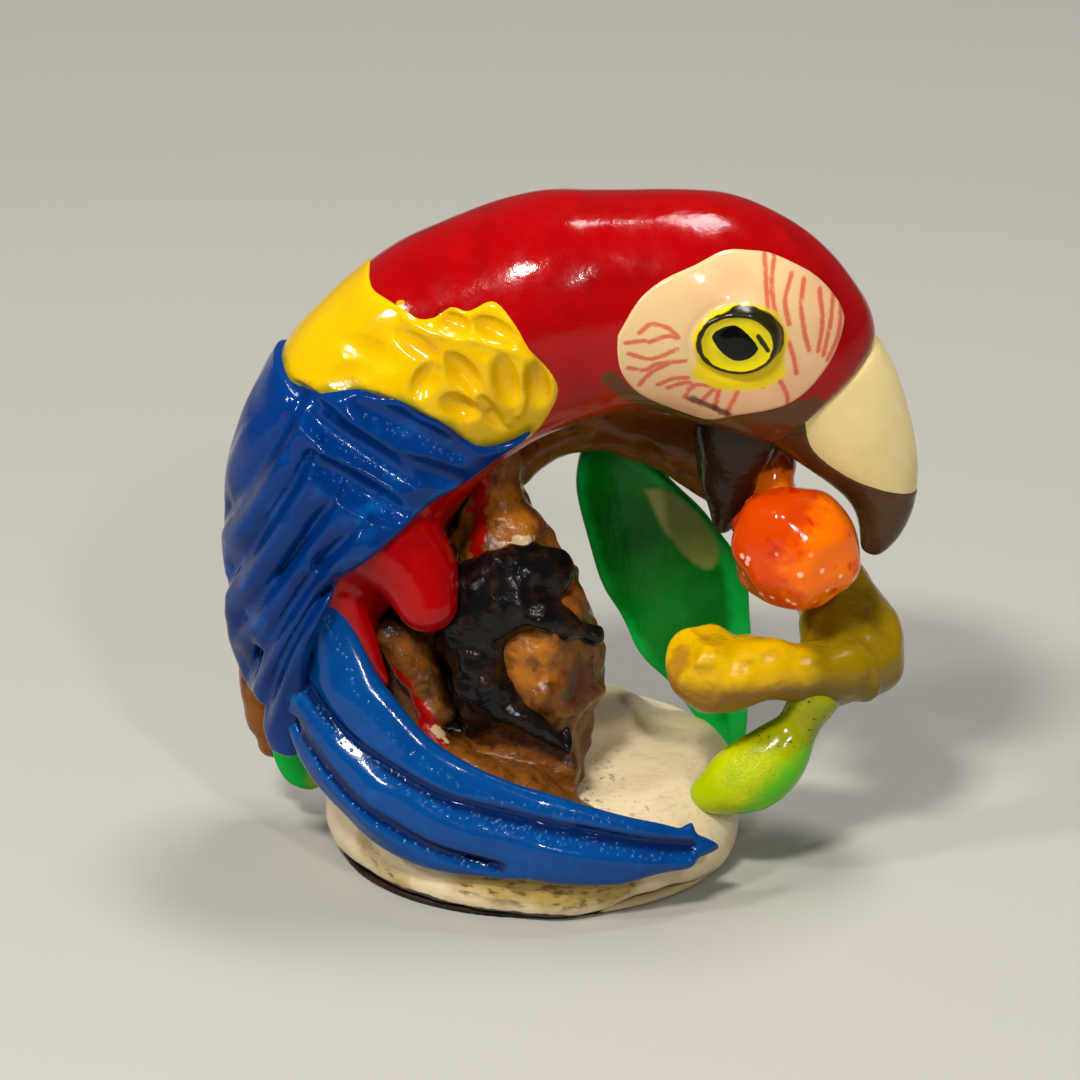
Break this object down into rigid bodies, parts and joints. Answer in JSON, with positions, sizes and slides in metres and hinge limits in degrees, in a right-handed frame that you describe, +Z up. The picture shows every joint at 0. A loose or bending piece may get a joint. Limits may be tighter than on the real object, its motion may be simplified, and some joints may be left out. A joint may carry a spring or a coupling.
{
  "type": "carved bird figurine",
  "caption": "Carved and painted macaw figurine on a flat base: the bird curls round an open ring, perches on a log and holds a berry in its bill, with a twig, leaves and a bud.",
  "frame": {"origin": "centre of the base's flat underside", "axes": "+Z up, +X the way the bird faces, -Y the side round which the tail sweeps"},
  "size_m": [0.0526, 0.0292, 0.0537],
  "materials": {
    "nut_pale": "polished pale palm nut with fine grain",
    "nut_skin": "dull dark skin of the nut",
    "red_paint": "glossy scarlet enamel over carved nut",
    "yellow_paint": "glossy yellow enamel over carved nut",
    "blue_paint": "glossy ultramarine enamel with fine bubbles over carved nut",
    "cream_paint": "glossy cream enamel over carved nut",
    "black_paint": "glossy black enamel over carved nut",
    "brown_varnish": "mottled amber and dark brown varnish over carved nut",
    "horn_varnish": "dark brown varnish over carved nut",
    "ochre_paint": "glossy yellow-brown enamel with dark mottling over carved nut",
    "lime_paint": "glossy yellow-green enamel over carved nut",
    "green_paint": "glossy dark green enamel over carved nut",
    "orange_paint": "glossy orange and red enamel over carved nut"
  },
  "bodies": {
    "root": {"back": "red_paint", "base": "nut_pale", "base_skin": "nut_skin", "beak_edge": "horn_varnish", "beak_lower": "horn_varnish", "beak_upper": "cream_paint", "berry_front": "orange_paint", "berry_rear": "orange_paint", "branch_arch": "brown_varnish", "branch_spur": "brown_varnish", "bud": "lime_paint", "cheek_left": "cream_paint", "cheek_right": "cream_paint", "coverts_left": "yellow_paint", "coverts_right": "yellow_paint", "eye_left": "black_paint", "eye_right": "black_paint", "foot_left": "black_paint", "foot_right": "black_paint", "head": "red_paint", "leaf_large": "green_paint", "leaf_small": "green_paint", "mantle": "red_paint", "perch_knob": "brown_varnish", "primary_1_left": "blue_paint", "primary_1_right": "blue_paint", "primary_2_left": "blue_paint", "primary_2_right": "blue_paint", "primary_3_left": "blue_paint", "primary_3_right": "blue_paint", "primary_4_left": "blue_paint", "primary_4_right": "blue_paint", "rump": "red_paint", "stump": "brown_varnish", "tail_feather_lower": "blue_paint", "tail_feather_middle": "blue_paint", "tail_feather_upper": "blue_paint", "thigh_left": "red_paint", "thigh_right": "red_paint", "twig_bend": "ochre_paint", "twig_stub": "ochre_paint", "wing_left": "blue_paint", "wing_right": "blue_paint"}
  },
  "joints": []
}
